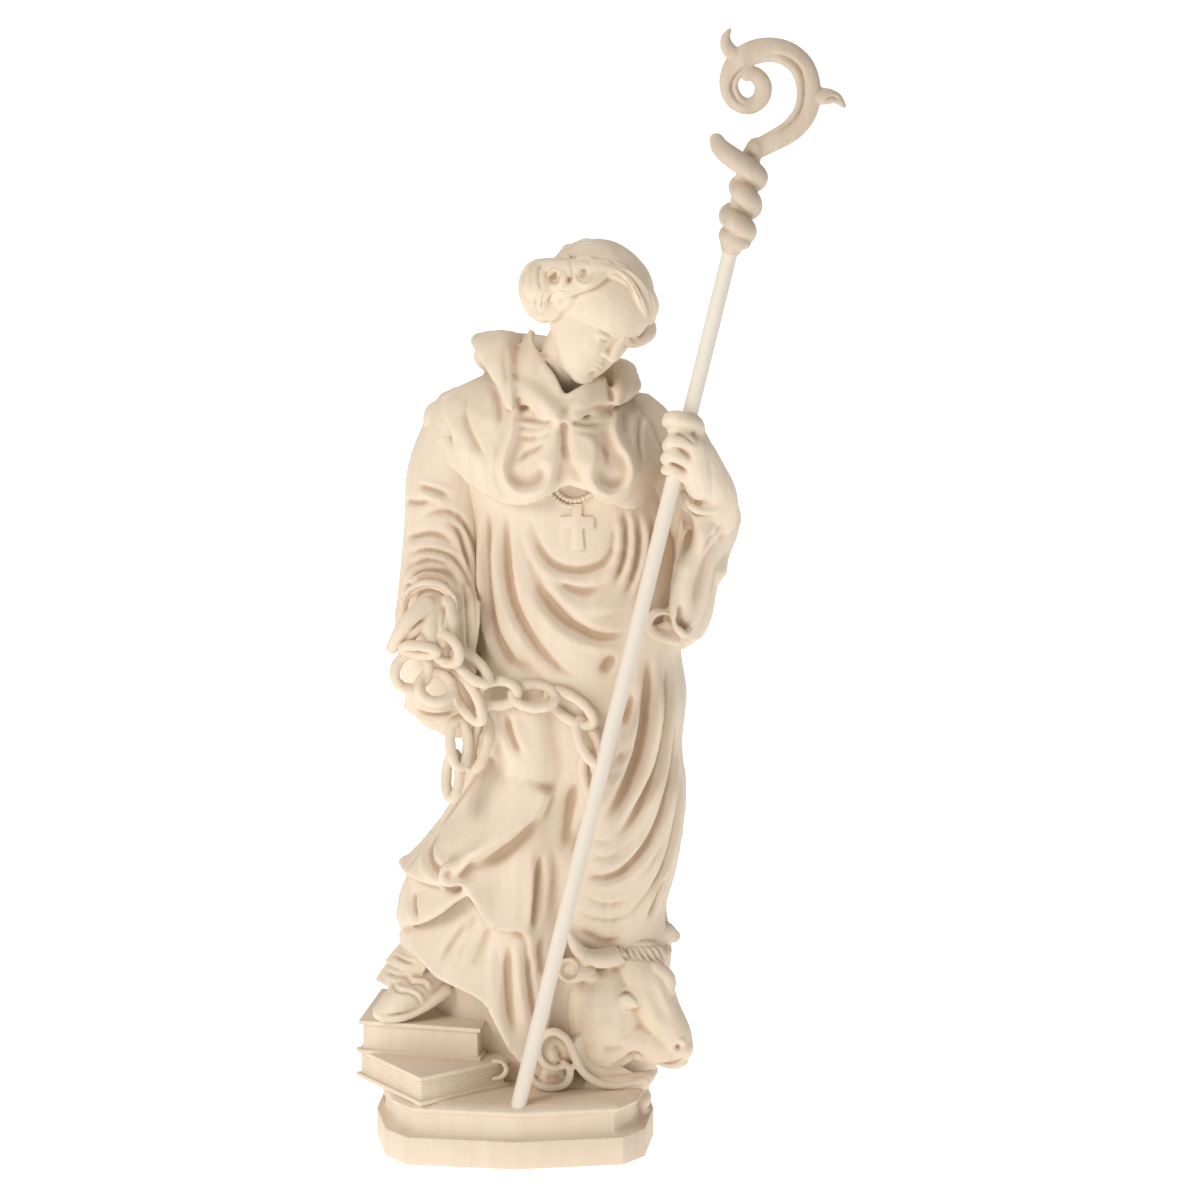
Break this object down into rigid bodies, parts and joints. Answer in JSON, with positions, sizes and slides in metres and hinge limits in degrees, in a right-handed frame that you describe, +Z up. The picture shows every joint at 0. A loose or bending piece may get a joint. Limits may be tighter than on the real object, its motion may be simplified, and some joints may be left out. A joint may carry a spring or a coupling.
{
  "type": "carved saint statue",
  "caption": "Carved wooden saint in a hooded robe, holding a chain and a tall crozier, one foot on stacked books, with an ox head at the hem, on a profiled plinth.",
  "frame": {"origin": "centre of the plinth's underside", "axes": "+Z up; -Y is the statue's front; +X is to the right of someone who faces the statue"},
  "size_m": [0.2486, 0.1091, 0.6053],
  "materials": {
    "figure_wood": "satin",
    "staff_wood": "satin",
    "crook_wood": "satin"
  },
  "bodies": {
    "root": {"carved_figure": "figure_wood", "crozier_staff": "staff_wood", "crozier_crook": "crook_wood"}
  },
  "joints": []
}
